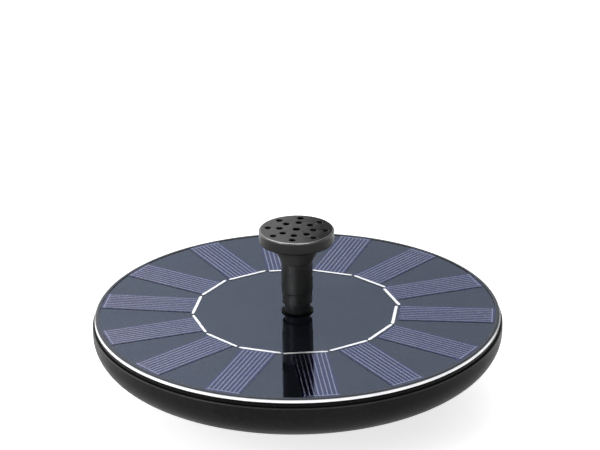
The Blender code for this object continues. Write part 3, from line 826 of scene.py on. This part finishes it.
# ================================================================ float
BOWL_Z = 28.85          # the bowl's side is part of a superellipse, centred at this height
BOWL_CENTRE_R = 52.0    # and this radius
BOWL_DEPTH = 15.8
BOWL_POWER = 0.93
RECESS_R = 28.6         # recess in the underside that holds the pump
ROOF_HIGH = 30.9


def bowl(inset, low_z, count):
    """The bowl's side from its widest point down to low_z."""
    reach = SHELL_R - BOWL_CENTRE_R - inset
    depth = BOWL_DEPTH - inset
    end = math.asin(((BOWL_Z - low_z) / depth) ** (1 / BOWL_POWER))
    return [
        (
            BOWL_CENTRE_R + reach * math.cos(end * i / count) ** BOWL_POWER,
            BOWL_Z - depth * math.sin(end * i / count) ** BOWL_POWER,
        )
        for i in range(count + 1)
    ]


outer = bowl(0.0, DISH_LOW_Z, 34)
inner = bowl(WALL, DISH_LOW_Z + WALL, 16)
shell = turned(
    "look_lower_shell",
    [(78.5, 31.75, 0.1), (SHELL_R, 31.75, 0.4)]
    + outer[1:-1] + [(*outer[-1], 0.5)]
    + [
        (RECESS_R, DISH_LOW_Z, 0.5), (RECESS_R, ROOF_LOW, 0.6), (5.6, ROOF_LOW, 0.15),
        (5.6, ROOF_HIGH, 0.15), (RECESS_R + WALL, ROOF_HIGH, 0.6),
        (RECESS_R + WALL, DISH_LOW_Z + WALL, 0.4),
    ]
    + inner[::-1],
    SHELL_BLACK, 240,
)
# Screw bosses hang from the roof; then the screw holes and the cable's hole.
for side in (-1, 1):
    combine(shell, [rod(side * SCREW_X, 0, 26.7, ROOF_LOW + 0.6, 2.8)], "UNION")
holes = [rod(side * SCREW_X, 0, 26.0, 30.3, SCREW_HOLE_R) for side in (-1, 1)]
combine(shell, holes + [rod(0, CABLE_Y, 28.0, 32.0, 2.6)], "DIFFERENCE")
shell.data.materials.append(LEDGE_PAINTED_HIGHLIGHT)
# The lip's outer top faces carry the painted highlight.
for face in shell.data.polygons:
    radius, z = radius_and_z(face)
    if z > 31.35 and radius > 79.1:
        face.material_index = 1
piece(shell)

piece(turned(
    "look_float_foam",
    [
        (33.0, 28.0, 1.2), (72.5, 28.0, 0.8), (70.5, 23.5, 1.5), (64.0, 19.4, 1.5),
        (57.0, 17.2, 1.2), (33.0, 17.2, 1.2),
    ],
    FOAM,
))
piece(turned(
    "look_outlet_collar",
    [
        (5.15, 35.2, 0.06), (6.25, 35.2, 0.1), (6.25, 35.04, 0.04), (5.85, 35.04, 0.05),
        (5.85, 31.1, 0.1), (5.15, 31.1, 0.1),
    ],
    COLLAR_BLACK, 96,
))

# ================================================================ pump body
housing = turned(
    "look_pump_housing",
    [
        (0.0, 18.0), (7.5, 18.0, 0.4), (7.5, 4.6, 0.3), (12.0, 4.6, 0.3), (12.0, 20.4, 0.2),
        (PUMP_R, 20.4, 0.3), (PUMP_R, -5.0, 0.3), (0.0, -5.0),
    ],
    PUMP_BLACK, 96, False, PUMP,
)
# The upright spigot, with a groove for its O-ring.
spigot = turned(
    "spigot",
    [
        (0, 46.0), (5.0, 46.0, 0.35), (5.0, 43.65, 0.08), (4.35, 43.65), (4.35, 42.35),
        (5.0, 42.35, 0.08), (5.0, 25.0), (0, 25.0),
    ],
    None, 96, False,
)
ears = []
for side in (-1, 1):
    outline = rounded([
        (side * 5.8, -3.2), (side * 19.4, -3.2, 3.1), (side * 19.4, 3.2, 3.1), (side * 5.8, 3.2),
    ])
    ears.append(prisms("ear", [(outline, 24.5, 26.5)]))
combine(housing, [spigot] + ears, "UNION")
# The wet side's hollow, from the rear bush's seat to the open front.
hollow = turned(
    "hollow",
    [
        (0.0, 17.2), (2.45, 17.2), (2.45, 15.6), (6.7, 15.6, 0.3), (6.7, 3.2, 0.2),
        (11.5, 3.2, 0.3), (11.5, -3.9), (12.35, -3.9), (12.35, -6.0), (0.0, -6.0),
    ],
    None, 96, False, PUMP,
)
holes = [rod(side * SCREW_X, 0, 23.5, 27.5, SCREW_HOLE_R) for side in (-1, 1)]
combine(housing, [hollow, rod(0, -0.6, 21.0, 47.0, 3.5)] + holes, "DIFFERENCE")
piece(housing)


def o_ring(name, ring_r, cord_r, place):
    steps = 14
    profile = []
    for i in range(steps):
        angle = 2 * math.pi * i / steps
        profile.append((ring_r + cord_r * math.cos(angle), cord_r * math.sin(angle)))
    piece(turned(name, profile, SEAL_RUBBER, 96, place=place), sharp=80)


o_ring("look_spigot_o_ring", 4.72, 0.33, Matrix.Translation((0, 0, 43.0)))
o_ring("look_cover_o_ring", 11.86, 0.36, PUMP @ Matrix.Translation((0, 0, -4.45)))

# The cover's inlet holds the front bush in a carrier on three arms.
cover = turned(
    "look_volute_cover",
    [
        (5.0, -5.2, 0.4), (PUMP_R, -5.2, 0.1), (PUMP_R, -6.7, 0.35), (12.4, -7.0, 0.3),
        (6.2, -7.0, 0.4), (6.2, -10.0, 0.3), (5.0, -10.0, 0.3),
    ],
    PUMP_BLACK, 96, place=PUMP,
)
carrier = turned(
    "carrier", [(2.25, -6.0), (3.1, -6.0, 0.2), (3.1, -7.8, 0.3), (2.25, -7.8)],
    None, 48, place=PUMP,
)
arm_outline = rectangle(2.8, 5.4, -7.6, -6.2, 0.3)
arms = [prisms("arm", [(arm_outline, -0.65, 0.65, about_pump(90 + 120 * k))]) for k in range(3)]
combine(cover, [carrier] + arms, "UNION")
piece(cover)

# ---------------------------------------------------------------- stator
core = turned(
    "look_stator_core", [(10.3, 13.6), (11.8, 13.6, 0.1), (11.8, 6.4, 0.1), (10.3, 6.4)],
    LAMINATED, 96, place=PUMP,
)
poles_at = [about_pump(45 + 90 * k) for k in range(4)]
pole_outline = rectangle(7.7, 10.8, 6.45, 13.55, 0.1)
combine(core, [prisms("pole", [(pole_outline, -1.25, 1.25, at)]) for at in poles_at], "UNION")
piece(core)

WIRE = 0.27             # thickness
COIL_ROWS = 6           # out along the pole
COIL_LAYERS = 4         # round the pole
COIL_IN = 8.15
COIL_LENGTH = 1.7       # along the pole
POLE_MIDDLE_Y = 10.0
for k, at in enumerate(poles_at):
    # A winding of separate closed turns, layered outwards round the pole.
    loops = []
    for row in range(COIL_ROWS):
        x = COIL_IN + WIRE / 2 + row * (COIL_LENGTH - WIRE) / (COIL_ROWS - 1)
        for layer in range(COIL_LAYERS):
            y_half = 3.75 + 0.17 + layer * 0.235 + (0.03 if row % 2 else 0.0)
            z_half = 1.45 + 0.17 + layer * 0.27
            loop = rectangle(-y_half, y_half, -z_half, z_half, 0.9)
            loops.append([at @ Vector((x, POLE_MIDDLE_Y + y, z)) for y, z in loop])
    coil = tube(f"look_stator_coil_{k + 1}", loops, WIRE / 2, 2, COPPER, closed=True)
    piece(coil, sharp=80, weighted=False)

# ---------------------------------------------------------------- driver board
# Its components are on the side away from the motor.
BOARD_FACE = 18.85
COMPONENTS = (  # middle x, middle y, width, length, height, in the pump's own axes
    (-3.5, 3.0, 4.0, 5.0, 0.35), (4.5, 4.0, 2.0, 1.25, 0.3), (4.5, -1.0, 2.0, 1.25, 0.3),
    (-4.0, -4.5, 1.6, 0.8, 0.25), (-1.0, -6.0, 1.6, 0.8, 0.25), (2.0, -4.5, 0.8, 1.6, 0.25),
    (6.5, 0.5, 0.8, 1.6, 0.25), (-7.5, -0.5, 0.8, 1.6, 0.25),
)
shape = turned_shape(
    [(0.0, BOARD_FACE), (11.6, BOARD_FACE, 0.08), (11.6, 18.3, 0.08), (0.0, 18.3)],
    96, False, PUMP,
)
for x, y, width, length, tall in COMPONENTS:
    outline = rectangle(x - width / 2, x + width / 2, y - length / 2, y + length / 2, 0.08)
    add_prism(shape, outline, BOARD_FACE, BOARD_FACE + tall, PUMP, 1)
to_metres(shape)
piece(object_of("look_driver_board", shape, MASK, CHIP))

plug = turned(
    "look_potting_plug", [(0.0, 20.3), (11.7, 20.3, 0.25), (11.7, 19.4, 0.1), (0.0, 19.4)],
    RESIN, 96, False, PUMP,
)
cable_hole = turned(
    "hole", [(0, 22), (1.7, 22), (1.7, 18), (0, 18)],
    None, 48, False, Matrix.Translation((0, 0, CABLE_RISE)) @ PUMP,
)
combine(plug, [cable_hole], "DIFFERENCE")
piece(plug)

# ================================================================ rotor
SHAFT_R = 1.25
BUSH_BORE_R = 1.32


def vane(degrees):
    """An impeller vane whose centre line curves back as it goes out."""
    at = about_pump(degrees)
    line = []
    for j in range(13):
        way = j / 12
        radius = 2.3 + 6.9 * way
        angle = math.radians(6 - 24 * way ** 1.3)
        line.append(Vector((radius * math.cos(angle), 0.0, radius * math.sin(angle) + 0.6)))
    left = []
    right = []
    for j, point in enumerate(line):
        along = (line[min(j + 1, 12)] - line[max(j - 1, 0)]).normalized()
        half = Vector((-along.z, 0, along.x)) * (0.5 - 0.12 * j / 12)
        left.append(point + half)
        right.append(point - half)
    outline = left + right[::-1]
    shape = bmesh.new()
    low = [shape.verts.new(at @ Vector((point.x, -4.1, point.z)) * MM) for point in outline]
    high = [shape.verts.new(at @ Vector((point.x, 1.8, point.z)) * MM) for point in outline]
    shape.faces.new(low)
    shape.faces.new(high[::-1])
    for i in range(len(outline)):
        j = (i + 1) % len(outline)
        shape.faces.new((low[i], high[i], high[j], low[j]))
    bmesh.ops.recalc_face_normals(shape, faces=shape.faces)
    return object_of("vane", shape)


impeller = turned(
    "look_impeller",
    [
        (1.33, 15.0, 0.1), (2.6, 15.0, 0.15), (2.6, 6.0, 0.1), (4.5, 6.0, 0.2), (4.5, 2.6, 0.4),
        (9.6, 2.6, 0.25), (9.6, 1.6, 0.25), (3.0, 1.6, 0.8), (2.6, -4.0, 0.3), (1.33, -4.0, 0.15),
    ],
    ACETAL, 96, place=PUMP,
)
combine(impeller, [vane(30 + 60 * k) for k in range(6)], "UNION")
piece(impeller, "rotor")
piece(turned(
    "look_rotor_magnet", [(2.75, 14.6, 0.25), (6.1, 14.6, 0.35), (6.1, 6.2, 0.35), (2.75, 6.2, 0.25)],
    FERRITE, 96, place=PUMP,
), "rotor")
piece(turned(
    "look_rotor_shaft", [(0.0, 17.0), (SHAFT_R, 17.0, 0.2), (SHAFT_R, -7.9, 0.2), (0.0, -7.9)],
    CERAMIC, 64, False, PUMP,
))
for end, bush_r, start_y, end_y in (("rear", 2.38, 17.1, 15.75), ("front", 2.17, -5.8, -7.7)):
    piece(turned(
        f"look_shaft_bush_{end}",
        [
            (BUSH_BORE_R, start_y, 0.1), (bush_r, start_y, 0.15),
            (bush_r, end_y, 0.15), (BUSH_BORE_R, end_y, 0.1),
        ],
        SEAL_RUBBER, 64, place=PUMP,
    ))

# ================================================================ screws, cable, grommet
for side, label in ((-1, "left"), (1, "right")):
    at = Matrix.Translation((side * SCREW_X, 0, 0))
    profile = [(0.0, 30.1), (0.55, 30.1)]
    z = 29.6
    while z > 24.9:  # thread, as rings
        profile += [(1.15, z), (0.98, z - 0.28)]
        z -= 0.5
    profile += [
        (1.1, 24.5), (1.1, 24.35), (2.4, 24.35, 0.1), (2.4, 23.5, 0.3), (1.9, 22.9, 0.4), (0.0, 22.9),
    ]
    screw = turned(f"look_pump_screw_{label}", profile, STEEL, 48, False, at)
    # A cross recess, from below.
    bar = rectangle(-1.35, 1.35, -0.32, 0.32, 0.1)
    bars = [prisms("bar", [(bar, 22.5, 23.7, at @ on_ring(turn))]) for turn in (22, 112)]
    combine(screw, bars, "DIFFERENCE")
    piece(screw)

# The cable leaves the pump along +Y, bends up and runs through the roof.
CABLE_R = 1.5
BEND_R = 2.6
cable_z = AXIS_Z + CABLE_RISE
path = [Vector((0, y, cable_z)) for y in (19.5, 20.4, 21.4, CABLE_Y - BEND_R)]
for i in range(1, 13):
    angle = math.pi / 2 * i / 12
    y = CABLE_Y - BEND_R + BEND_R * math.sin(angle)
    path.append(Vector((0, y, cable_z + BEND_R - BEND_R * math.cos(angle))))
path += [Vector((0, CABLE_Y, z)) for z in (26.0, 29.0, 31.35)]
cable = tube("look_power_cable", [path], CABLE_R, 6, CABLE_RUBBER, closed=False)
piece(cable, sharp=50, weighted=False)
piece(turned(
    "look_cable_grommet",
    [
        (1.75, 31.2, 0.1), (2.4, 31.2, 0.1), (2.4, 29.15, 0.1), (3.3, 29.15, 0.15),
        (3.3, 28.4, 0.3), (1.75, 28.4, 0.15),
    ],
    SEAL_RUBBER, 64, place=Matrix.Translation((0, CABLE_Y, 0)),
))

# ================================================================ filter
WALL_SLOTS = 24
FLOOR_SLOTS = 10
basket = turned(
    "look_filter_basket",
    [
        (0.0, 1.6), (27.0, 1.6, 0.6), (27.0, 18.0, 0.3), (28.3, 18.0, 0.4), (28.3, 13.9, 0.1),
        (31.0, 13.9, 0.35), (31.0, 12.9, 0.3), (28.6, 12.3, 0.4), (28.6, 0.0, 1.3), (0.0, 0.0),
    ],
    PUMP_BLACK, 192, False,
)
# Turns a slot's long X upright and its extrusion outwards, 6.9 mm up the wall.
UPRIGHT = Matrix.Translation((0, 0, 6.9)) @ Matrix(
    ((0, 0, 1, 0), (0, 1, 0, 0), (-1, 0, 0, 0), (0, 0, 0, 1))
)
wall_slots = prisms("wall_slots", [
    (stadium(8.0, 2.4), 25.0, 31.0, on_ring(360 / WALL_SLOTS * (k + 0.5)) @ UPRIGHT)
    for k in range(WALL_SLOTS)
])
floor_slot = [(x + 16.0, y) for x, y in stadium(12.0, 2.0)]
floor_slots = prisms("floor_slots", [
    (floor_slot, -2.2, 3.8, on_ring(360 / FLOOR_SLOTS * k + 7.0)) for k in range(FLOOR_SLOTS)
])
combine(basket, [wall_slots, floor_slots], "DIFFERENCE")
piece(basket, "filter")

# The sponge ring is a fine mesh whose surface is roughened by noise.
SPONGE_IN = 24.2
SPONGE_THICK = 2.5
SPONGE_LOW = 1.9
SPONGE_TALL = 11.5
sponge_out = SPONGE_IN + SPONGE_THICK
sponge_high = SPONGE_LOW + SPONGE_TALL
sponge_middle = SPONGE_IN + SPONGE_THICK / 2
shape = turned_shape(
    [(SPONGE_IN, SPONGE_LOW + SPONGE_TALL * k / 18) for k in range(19)]
    + [(SPONGE_IN + SPONGE_THICK * k / 5, sponge_high) for k in range(1, 5)]
    + [(sponge_out, sponge_high - SPONGE_TALL * k / 18) for k in range(19)]
    + [(sponge_out - SPONGE_THICK * k / 5, SPONGE_LOW) for k in range(1, 5)],
    200, True, UNMOVED,
)
to_metres(shape)
for vert in shape.verts:
    radius = math.hypot(vert.co.x, vert.co.y)
    middle = Vector((
        vert.co.x / radius * sponge_middle * MM, vert.co.y / radius * sponge_middle * MM,
        min(max(vert.co.z, 3 * MM), 12.3 * MM),
    ))
    inward = (middle - vert.co).normalized()
    vert.co += inward * MM * (0.16 + 0.15 * noise.noise(vert.co / MM * 1.3))
piece(object_of("look_filter_sponge", shape, SPONGE), "filter", sharp=70, weighted=False)

# ================================================================ nozzle
piece(turned(
    "look_nozzle_riser",
    [
        (3.6, 60.5, 0.15), (5.0, 60.5, 0.25), (5.0, 56.0, 0.05), (6.1, 56.0, 0.2),
        (6.1, 43.7, 0.25), (5.87, 43.35, 0.25), (5.85, 38.6, 0.85), (5.2, 38.6, 0.05),
        (5.2, 46.6, 0.1), (3.6, 46.6, 0.1),
    ],
    NOZZLE_BLACK, 128,
), "riser")
flare = flowing([
    (13.0, 64.0), (11.6, 63.2), (9.6, 62.0), (8.2, 60.2), (7.2, 58.3), (6.45, 56.8), (6.17, 56.3),
])
piece(turned(
    "look_nozzle_funnel",
    [(11.9, 66.5, 0.2), (13.0, 66.5, 0.2)] + flare
    + [
        (6.12, 56.15, 0.1), (5.15, 56.15, 0.05), (5.15, 61.0, 0.3), (7.0, 62.6, 0.5),
        (10.0, 64.4, 0.5), (11.9, 65.2, 0.4),
    ],
    FUNNEL_PAINTED_LIGHT, 128,
), "nozzle_head")

CAP_R = 14.6
JET_RINGS = (6.6, 11.1)
JETS_PER_RING = 8
FIRST_JET_DEG = 36.5
JET_R = 1.15
MIDDLE_JET_R = 1.35
cap = turned(
    "look_nozzle_cap",
    [
        (0.0, HEAD_TOP), (CAP_R, HEAD_TOP, 0.7), (CAP_R, 64.2, 0.45), (13.2, 64.2, 0.1),
        (13.2, 67.6, 0.3), (0.0, 67.6),
    ],
    NOZZLE_BLACK, 160, False,
)
jets = [(0.0, 0.0, MIDDLE_JET_R)]
for ring_r in JET_RINGS:
    for k in range(JETS_PER_RING):
        angle = math.radians(FIRST_JET_DEG + 360 / JETS_PER_RING * k)
        jets.append((ring_r * math.cos(angle), ring_r * math.sin(angle), JET_R))
# Each drill widens towards the top, which softens the hole's mouth.
shape = bmesh.new()
for x, y, radius in jets:
    drill = turned(
        "drill",
        [
            (0, 70.2), (radius + 0.42, 70.2), (radius + 0.30, HEAD_TOP + 0.02),
            (radius + 0.14, HEAD_TOP - 0.07), (radius + 0.04, HEAD_TOP - 0.2),
            (radius, HEAD_TOP - 0.4), (radius, 66.8), (0, 66.8),
        ],
        None, 28, False, Matrix.Translation((x, y, 0)),
    )
    shape.from_mesh(drill.data)
    bpy.data.objects.remove(drill)
combine(cap, [object_of("drills", shape)], "DIFFERENCE")
for material in (CAP_EDGE, PAINTED_SHADE_BLACK, CAP_TOP):
    cap.data.materials.append(material)
for face in cap.data.polygons:
    radius, z = radius_and_z(face)
    if radius > 13.95:
        face.material_index = 1 if z > HEAD_TOP - 0.75 else 0
    elif z > HEAD_TOP - 0.02:
        face.material_index = 3
    # The holes' walls take painted shade.
    elif z > 67.7 and radius < 12.9:  # the holes' walls
        face.material_index = 2
piece(cap, "nozzle_head")

# ================================================================ studio
shape = bmesh.new()
bmesh.ops.create_grid(shape, x_segments=2, y_segments=2, size=4.0)
floor = object_of("studio_floor", shape, studio_floor("studio_floor_white"))
floor.location.z = -0.00015

# A slim black flag, long along Y, stands inside the cap, seen only in reflections: the panel
# mirrors the stem as one plain dark column that runs out to the rim.
flag_outline = [(y, x) for x, y in stadium(27.0, 12.3)]
flag = prisms("studio_flag", [(flag_outline, 56.4, 69.0)], PAINTED_SHADE_BLACK)
for ray in ("camera", "diffuse", "transmission", "shadow", "volume_scatter"):
    setattr(flag, f"visible_{ray}", False)
for name in ("look_nozzle_cap", "look_nozzle_funnel"):
    bpy.data.objects[name].visible_glossy = False


def softbox(name, at, aim, size, watts):
    data = bpy.data.lights.new(name, "AREA")
    data.shape = "RECTANGLE"
    data.size, data.size_y = size
    data.energy = watts
    obj = linked(name, data)
    obj.location = at
    obj.rotation_mode = "QUATERNION"
    obj.rotation_quaternion = (Vector(aim) - Vector(at)).to_track_quat("-Z", "Y")
    return obj


def lit_set(name, *pieces):
    """A collection of pieces for a light to be limited to."""
    made = bpy.data.collections.new(name)
    for piece_name in pieces:
        made.objects.link(bpy.data.objects[piece_name])
    return made


softbox("key", at=(-0.75, -0.62, 0.50), aim=(0, 0, 0.045), size=(0.16, 0.5), watts=3.4)

# Two strips that model the stem: a soft streak down its left, a thin one down its right edge.
stem = lit_set("lit_by_stem_strips", "look_nozzle_riser", "look_nozzle_funnel")
for name, at, watts in (
    ("left_strip", (-0.64, -0.46, 0.10), 4.0),
    ("right_strip", (0.80, 0.22, 0.10), 2.5),
):
    strip = softbox(name, at, aim=(0, 0, 0.05), size=(0.20, 0.07), watts=watts)
    strip.light_linking.receiver_collection = stem

# A low strip for the riser's gloss alone: its mirror image on the tube is the soft streak left of
# the middle. It stands below the floor and casts no shadows, so nothing shades it.
strip = softbox(
    "riser_strip", at=(-0.38, -0.68, -0.24), aim=(0, 0, 0.05), size=(0.06, 0.40), watts=1.25
)
strip.data.use_shadow = False
strip.visible_diffuse = False
strip.light_linking.receiver_collection = lit_set("lit_by_riser_strip", "look_nozzle_riser")

# A strip overhead that lights the cap alone, for the bright line along its edge.
strip = softbox(
    "head_strip", at=(-0.10, -0.12, 0.80), aim=(0, 0, 0.069), size=(1.7, 0.45), watts=23.0
)
strip.visible_diffuse = False
strip.light_linking.receiver_collection = lit_set("lit_by_head_strip", "look_nozzle_cap")

# ---------------------------------------------------------------- world
world = bpy.data.worlds.new("studio_world")
bpy.context.scene.world = world
world.use_nodes = True
nodes = world.node_tree.nodes
links = world.node_tree.links
nodes.clear()
direction = nodes.new("ShaderNodeSeparateXYZ")
links.new(nodes.new("ShaderNodeTexCoord").outputs["Generated"], direction.inputs[0])


def world_math(operation, *values):
    made = nodes.new("ShaderNodeMath")
    made.operation = operation
    for socket, value in zip(made.inputs, values):
        if isinstance(value, bpy.types.NodeSocket):
            links.new(value, socket)
        else:
            socket.default_value = value
    return made.outputs[0]


def curve_of(axis, *stops):
    """A brightness that follows one component of the direction through (position, value) stops.
    The curve itself runs from 0 to 1 both ways, so positions -1..1 and values 0..4 are scaled."""
    ramp = nodes.new("ShaderNodeFloatCurve")
    points = ramp.mapping.curves[0].points
    ramp.mapping.use_clip = False
    while len(points) < len(stops):
        points.new(0.5, 0.5)
    for point, (position, value) in zip(points, stops):
        point.location = ((position + 1) / 2, value / 4)
        point.handle_type = "VECTOR"
    ramp.mapping.update()
    shifted = world_math("MULTIPLY_ADD", direction.outputs[axis], 0.5, 0.5)
    links.new(shifted, ramp.inputs["Value"])
    return world_math("MULTIPLY", ramp.outputs[0], 4.0)


# White sweep behind, brighter overhead and to the left; the room in front is dark but for a dim
# panel that gives the sheet something to mirror when it is seen from the back.
behind = curve_of("Y", (-1.0, 0.0), (-0.15, 0.0), (0.35, 1.0), (1.0, 1.0))
rise = curve_of(
    "Z", (-1.0, 0.95), (0.385, 0.97), (0.41, 1.08), (0.445, 1.24), (0.50, 1.25), (0.62, 1.7),
    (0.85, 1.5), (1.0, 1.2),
)
sideways = curve_of(
    "X", (-1.0, 1.4), (-0.30, 1.4), (-0.12, 1.36), (-0.06, 1.22), (0.0, 1.03), (0.06, 0.97),
    (0.12, 0.92), (0.35, 0.5), (1.0, 0.4),
)
all_round = curve_of("Z", (-1.0, 0.25), (0.0, 0.05), (0.6, 0.08), (1.0, 0.5))
dim_panel = world_math(
    "MULTIPLY",
    curve_of("Y", (-1.0, 0.36), (-0.45, 0.36), (-0.15, 0.0), (1.0, 0.0)),
    curve_of("Z", (-1.0, 0.0), (0.18, 0.0), (0.30, 1.0), (0.70, 1.0), (0.85, 0.0), (1.0, 0.0)),
)
background = nodes.new("ShaderNodeBackground")
background.inputs["Color"].default_value = (1, 1, 1, 1)
sweep = world_math("MULTIPLY", world_math("MULTIPLY", behind, rise), sideways)
strength = world_math("ADD", world_math("ADD", sweep, all_round), dim_panel)
links.new(strength, background.inputs["Strength"])
links.new(background.outputs[0], nodes.new("ShaderNodeOutputWorld").inputs[0])

# ---------------------------------------------------------------- camera
ELEVATION = math.radians(24.34)
ROLL = math.radians(0.72)
DISTANCE = 0.9924               # from the centre of the panel's top
SENSOR_MM = 36.0
LENS_MM = 152.352
AIM_MM = (-0.153, -5.082)       # where that centre falls on the sensor, right and up of its middle

camera_data = bpy.data.cameras.new("camera")
camera_data.sensor_width = SENSOR_MM
camera_data.lens = LENS_MM
camera_data.clip_start = 0.05
camera_data.clip_end = 20.0
camera = linked("camera", camera_data)
back = Vector((0, -math.cos(ELEVATION), math.sin(ELEVATION)))
up = Vector((0, math.sin(ELEVATION), math.cos(ELEVATION)))
basis = Matrix((Vector((1, 0, 0)), up, back)).transposed()
roll = Matrix.Rotation(ROLL, 3, "Z")
toward = Vector((*AIM_MM, -LENS_MM)).normalized()
swing = Vector((0, 0, -1)).rotation_difference(toward).to_matrix()
place = Matrix.Translation(Vector((0, 0, TOP_Z * MM)) + back * DISTANCE)
camera.matrix_world = place @ (basis @ (swing @ roll).inverted()).to_4x4()
bpy.context.scene.camera = camera

settings = bpy.context.scene.view_settings
settings.view_transform = "Standard"
settings.look = "None"
settings.exposure = 0.0
settings.gamma = 1.0

# ---------------------------------------------------------------- update
bpy.context.view_layer.update()
